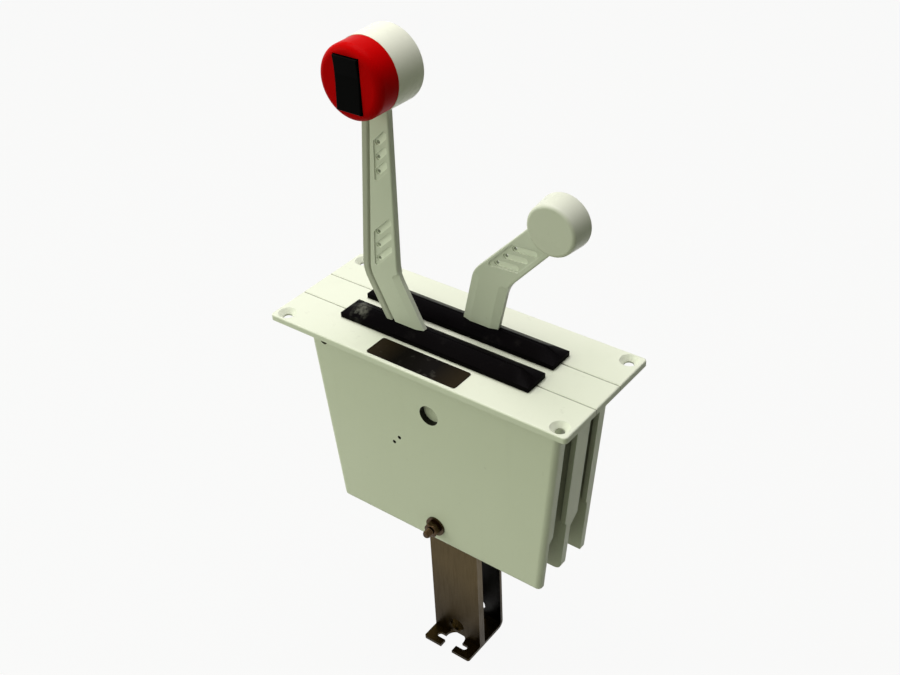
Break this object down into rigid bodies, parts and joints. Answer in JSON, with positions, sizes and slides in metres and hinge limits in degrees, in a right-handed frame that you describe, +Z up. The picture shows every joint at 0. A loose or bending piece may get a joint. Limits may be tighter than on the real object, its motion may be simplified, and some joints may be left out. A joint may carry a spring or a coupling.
{
  "type": "marine engine control head",
  "caption": "Two-lever boat engine control for a console: a long throttle lever with a trim rocker and a short shift lever on one pivot.",
  "frame": {"origin": "centre of the flange's underside, the face that lies on the console", "axes": "+X along the flange and the lever slots, +Y across from the throttle side to the shift side, +Z up from the console"},
  "size_m": [0.252, 0.1016, 0.5111],
  "materials": {
    "white_paint": "painted white, satin",
    "seal_rubber": "glossy",
    "label_black": "satin",
    "white_plastic": "gloss",
    "red_plastic": "gloss",
    "black_plastic": "satin",
    "stainless": "brushed",
    "plated_steel": "satin",
    "bearing_plastic": "matte",
    "brake_lining": "matte",
    "spring_steel": "bright",
    "aluminium_bare": "satin"
  },
  "bodies": {
    "casing": {"near_side_casting": "white_paint", "centre_casting": "white_paint", "far_side_casting": "white_paint", "near_slot_seal": "seal_rubber", "far_slot_seal": "seal_rubber", "label_plate": "label_black", "pivot_shaft": "stainless", "pivot_end_caps": "aluminium_bare", "upper_tie_rods": "stainless", "upper_spacers": "aluminium_bare", "lower_cross_bolt": "stainless", "lower_cross_nut": "stainless", "lower_washers": "stainless", "lower_spacers": "aluminium_bare", "cable_bracket_body": "plated_steel", "cable_bracket_front_plate": "plated_steel", "brake_shoe": "brake_lining", "brake_adjuster_screw": "stainless", "brake_lock_nut": "stainless", "detent_sleeve": "stainless", "detent_spring": "spring_steel", "idle_switch_body": "black_plastic", "idle_switch_terminals": "spring_steel", "idle_switch_screws": "stainless"},
    "throttle_lever": {"throttle_lever_arm": "white_paint", "throttle_wire_cover": "white_paint", "throttle_hub_bush": "bearing_plastic", "throttle_brake_disc": "aluminium_bare", "throttle_clevis_pin": "stainless", "throttle_knob_body": "white_plastic", "throttle_knob_cap": "red_plastic", "throttle_knob_screws": "stainless", "trim_rocker_pin": "stainless", "trim_switch_body": "black_plastic"},
    "shift_lever": {"shift_lever_arm": "white_paint", "shift_hub_bush": "bearing_plastic", "shift_detent_disc": "aluminium_bare", "shift_clevis_pin": "stainless", "shift_knob": "white_plastic", "shift_knob_screw": "stainless"},
    "trim_rocker": {"trim_rocker": "black_plastic"},
    "throttle_trunnion": {"throttle_cable_trunnion": "plated_steel"},
    "shift_trunnion": {"shift_cable_trunnion": "plated_steel"},
    "detent_plunger": {"detent_plunger": "stainless"},
    "idle_button": {"idle_switch_button": "red_plastic"}
  },
  "joints": [
    {"name": "throttle_hinge", "type": "hinge", "parent": "casing", "child": "throttle_lever", "pos_m": [0, -0.01475, -0.0464], "axis": [0, 1, 0], "range_deg": [-9.8, 64.5]},
    {"name": "shift_hinge", "type": "hinge", "parent": "casing", "child": "shift_lever", "pos_m": [0, 0.01475, -0.0464], "axis": [0, 1, 0], "range_deg": [-50.5, 23]},
    {"name": "trim_rocker_hinge", "type": "hinge", "parent": "throttle_lever", "child": "trim_rocker", "pos_m": [-0.03614, -0.0369, 0.1981], "axis": [1, 0, 0], "range_deg": [-6, 6], "stiffness_Nm_per_rad": 0.5},
    {"name": "throttle_trunnion_hinge", "type": "hinge", "parent": "throttle_lever", "child": "throttle_trunnion", "pos_m": [-0.05012, -0.01475, -0.07139], "axis": [0, 1, 0], "range_deg": [-65, 10]},
    {"name": "shift_trunnion_hinge", "type": "hinge", "parent": "shift_lever", "child": "shift_trunnion", "pos_m": [-0.05445, 0.01475, -0.03333], "axis": [0, 1, 0], "range_deg": [-23.5, 51]},
    {"name": "detent_slide", "type": "slide", "parent": "casing", "child": "detent_plunger", "axis": [0, 0, 1], "range_m": [-0.002, 0], "stiffness_N_per_m": 2000, "deforming": ["detent_spring"]},
    {"name": "idle_button_slide", "type": "slide", "parent": "casing", "child": "idle_button", "axis": [-0.766, 0, 0.6428], "range_m": [-0.001, 0], "stiffness_N_per_m": 500}
  ],
  "couplings": [
    {"joint": "throttle_trunnion_hinge", "follows": "throttle_hinge", "ratio": -1},
    {"joint": "shift_trunnion_hinge", "follows": "shift_hinge", "ratio": -1}
  ]
}
